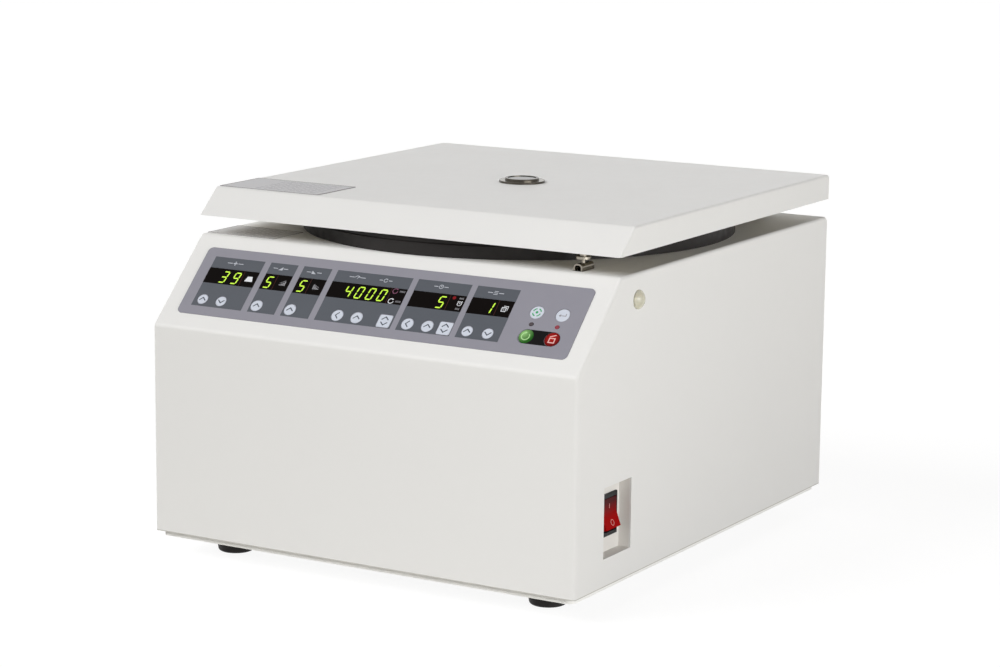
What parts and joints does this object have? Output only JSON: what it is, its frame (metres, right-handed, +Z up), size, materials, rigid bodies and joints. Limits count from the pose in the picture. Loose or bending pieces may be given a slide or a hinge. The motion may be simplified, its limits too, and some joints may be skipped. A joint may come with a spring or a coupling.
{
  "type": "benchtop centrifuge",
  "caption": "Low-speed benchtop laboratory centrifuge with a sloping key panel, a flat hinged lid and a swing-out rotor with lift-out buckets.",
  "frame": {"origin": "on the bench under the middle of the casing", "axes": "+X to the right of someone who faces the panel, +Y to the rear, +Z up"},
  "size_m": [0.371, 0.4188, 0.2776],
  "materials": {
    "white_enamel": "textured white powder coat",
    "stainless": "deep-drawn stainless steel",
    "plated_steel": "nickel plate",
    "plain_steel": "machined steel",
    "rotor_alloy": "machined and anodised aluminium",
    "motor_alloy": "cast aluminium",
    "foil": "brushed foil",
    "black_rubber": "moulded rubber",
    "overlay_print": "printed polycarbonate foil",
    "smoked_pane": "smoked polycarbonate",
    "pale_key": "pale printed key",
    "green_key": "green printed key",
    "red_key": "red printed key",
    "board": "glass fibre circuit board",
    "switch_black": "moulded black nylon",
    "rocker_red": "translucent red polycarbonate",
    "plug_cream": "moulded cream nylon",
    "sight_glass": "clear glass",
    "contact_brass": "plated brass"
  },
  "bodies": {
    "casing": {"outer_casing": "white_enamel", "base_pan": "white_enamel", "rubber_feet": "black_rubber", "base_screws": "plated_steel", "switch_recess": "white_enamel", "switch_housing": "switch_black", "power_inlet": "switch_black", "inlet_contacts": "contact_brass", "deck_foil_plate": "foil", "chamber_bowl": "stainless", "guard_ring": "plain_steel", "chamber_gasket": "black_rubber", "motor_mounts": "black_rubber", "motor_housing": "motor_alloy", "motor_bearings": "plain_steel", "shaft_boot": "black_rubber", "hinge_bases": "plated_steel", "hinge_pins": "plain_steel", "latch_guide": "plated_steel", "latch_solenoid": "plain_steel", "keypad_overlay": "overlay_print", "display_windows": "smoked_pane", "control_board": "board", "drive_unit": "motor_alloy"},
    "lid": {"lid_shell": "white_enamel", "lid_liner": "white_enamel", "lid_foil_plate": "foil", "viewport_ring": "plated_steel", "viewport_glass": "sight_glass", "viewport_nut": "plated_steel", "latch_striker": "plated_steel", "hinge_arms": "plated_steel"},
    "rotor": {"motor_shaft": "plain_steel", "rotor_head": "rotor_alloy", "trunnion_pins": "plain_steel", "rotor_nut": "plated_steel"},
    "latch_bolt": {"latch_bolt": "plain_steel"},
    "power_rocker": {"power_rocker": "rocker_red"},
    "release_plug": {"release_plug": "plug_cream"},
    "fuse_drawer": {"fuse_drawer": "switch_black"},
    "bucket_1": {"bucket_1": "rotor_alloy"},
    "bucket_2": {"bucket_2": "rotor_alloy"},
    "bucket_3": {"bucket_3": "rotor_alloy"},
    "bucket_4": {"bucket_4": "rotor_alloy"},
    "key_rotor_up": {"key_rotor_up": "pale_key"},
    "key_rotor_down": {"key_rotor_down": "pale_key"},
    "key_acceleration": {"key_acceleration": "pale_key"},
    "key_deceleration": {"key_deceleration": "pale_key"},
    "key_speed_digit": {"key_speed_digit": "pale_key"},
    "key_speed_up": {"key_speed_up": "pale_key"},
    "key_speed_mode": {"key_speed_mode": "pale_key"},
    "key_time_digit": {"key_time_digit": "pale_key"},
    "key_time_up": {"key_time_up": "pale_key"},
    "key_time_mode": {"key_time_mode": "pale_key"},
    "key_program_up": {"key_program_up": "pale_key"},
    "key_program_down": {"key_program_down": "pale_key"},
    "key_recall": {"key_recall": "pale_key"},
    "key_save": {"key_save": "pale_key"},
    "key_start": {"key_start": "green_key"},
    "key_stop": {"key_stop": "red_key"}
  },
  "joints": [
    {"name": "lid_hinge", "type": "hinge", "parent": "casing", "child": "lid", "pos_m": [0, 0.2004, 0.248], "axis": [-1, 0, 0], "range_deg": [0, 75]},
    {"name": "rotor_spin", "type": "hinge", "parent": "casing", "child": "rotor", "pos_m": [0, 0.0254, 0.20157], "axis": [0, 0, 1], "continuous": true},
    {"name": "bucket_1_swing", "type": "hinge", "parent": "rotor", "child": "bucket_1", "pos_m": [0.072, 0.0254, 0.20157], "axis": [0, -1, 0], "range_deg": [0, 90]},
    {"name": "bucket_2_swing", "type": "hinge", "parent": "rotor", "child": "bucket_2", "pos_m": [0, 0.0974, 0.20157], "axis": [1, 0, 0], "range_deg": [0, 90]},
    {"name": "bucket_3_swing", "type": "hinge", "parent": "rotor", "child": "bucket_3", "pos_m": [-0.072, 0.0254, 0.20157], "axis": [0, 1, 0], "range_deg": [0, 90]},
    {"name": "bucket_4_swing", "type": "hinge", "parent": "rotor", "child": "bucket_4", "pos_m": [0, -0.0466, 0.20157], "axis": [-1, 0, 0], "range_deg": [0, 90]},
    {"name": "latch_bolt_slide", "type": "slide", "parent": "casing", "child": "latch_bolt", "axis": [0, -1, 0], "range_m": [0, 0.005]},
    {"name": "power_rocker_tilt", "type": "hinge", "parent": "casing", "child": "power_rocker", "pos_m": [0.1687, -0.1433, 0.0663], "axis": [0, 1, 0], "range_deg": [0, 20]},
    {"name": "release_plug_pull", "type": "slide", "parent": "casing", "child": "release_plug", "axis": [1, 0, 0], "range_m": [0, 0.012]},
    {"name": "fuse_drawer_slide", "type": "slide", "parent": "casing", "child": "fuse_drawer", "axis": [0, 1, 0], "range_m": [0, 0.018]},
    {"name": "key_rotor_up_press", "type": "slide", "parent": "casing", "child": "key_rotor_up", "axis": [0, 0.7037, -0.7105], "range_m": [0, 0.00045], "stiffness_N_per_m": 3000},
    {"name": "key_rotor_down_press", "type": "slide", "parent": "casing", "child": "key_rotor_down", "axis": [0, 0.7037, -0.7105], "range_m": [0, 0.00045], "stiffness_N_per_m": 3000},
    {"name": "key_acceleration_press", "type": "slide", "parent": "casing", "child": "key_acceleration", "axis": [0, 0.7037, -0.7105], "range_m": [0, 0.00045], "stiffness_N_per_m": 3000},
    {"name": "key_deceleration_press", "type": "slide", "parent": "casing", "child": "key_deceleration", "axis": [0, 0.7037, -0.7105], "range_m": [0, 0.00045], "stiffness_N_per_m": 3000},
    {"name": "key_speed_digit_press", "type": "slide", "parent": "casing", "child": "key_speed_digit", "axis": [0, 0.7037, -0.7105], "range_m": [0, 0.00045], "stiffness_N_per_m": 3000},
    {"name": "key_speed_up_press", "type": "slide", "parent": "casing", "child": "key_speed_up", "axis": [0, 0.7037, -0.7105], "range_m": [0, 0.00045], "stiffness_N_per_m": 3000},
    {"name": "key_speed_mode_press", "type": "slide", "parent": "casing", "child": "key_speed_mode", "axis": [0, 0.7037, -0.7105], "range_m": [0, 0.00045], "stiffness_N_per_m": 3000},
    {"name": "key_time_digit_press", "type": "slide", "parent": "casing", "child": "key_time_digit", "axis": [0, 0.7037, -0.7105], "range_m": [0, 0.00045], "stiffness_N_per_m": 3000},
    {"name": "key_time_up_press", "type": "slide", "parent": "casing", "child": "key_time_up", "axis": [0, 0.7037, -0.7105], "range_m": [0, 0.00045], "stiffness_N_per_m": 3000},
    {"name": "key_time_mode_press", "type": "slide", "parent": "casing", "child": "key_time_mode", "axis": [0, 0.7037, -0.7105], "range_m": [0, 0.00045], "stiffness_N_per_m": 3000},
    {"name": "key_program_up_press", "type": "slide", "parent": "casing", "child": "key_program_up", "axis": [0, 0.7037, -0.7105], "range_m": [0, 0.00045], "stiffness_N_per_m": 3000},
    {"name": "key_program_down_press", "type": "slide", "parent": "casing", "child": "key_program_down", "axis": [0, 0.7037, -0.7105], "range_m": [0, 0.00045], "stiffness_N_per_m": 3000},
    {"name": "key_recall_press", "type": "slide", "parent": "casing", "child": "key_recall", "axis": [0, 0.7037, -0.7105], "range_m": [0, 0.00045], "stiffness_N_per_m": 3000},
    {"name": "key_save_press", "type": "slide", "parent": "casing", "child": "key_save", "axis": [0, 0.7037, -0.7105], "range_m": [0, 0.00045], "stiffness_N_per_m": 3000},
    {"name": "key_start_press", "type": "slide", "parent": "casing", "child": "key_start", "axis": [0, 0.7037, -0.7105], "range_m": [0, 0.00045], "stiffness_N_per_m": 3000},
    {"name": "key_stop_press", "type": "slide", "parent": "casing", "child": "key_stop", "axis": [0, 0.7037, -0.7105], "range_m": [0, 0.00045], "stiffness_N_per_m": 3000}
  ]
}
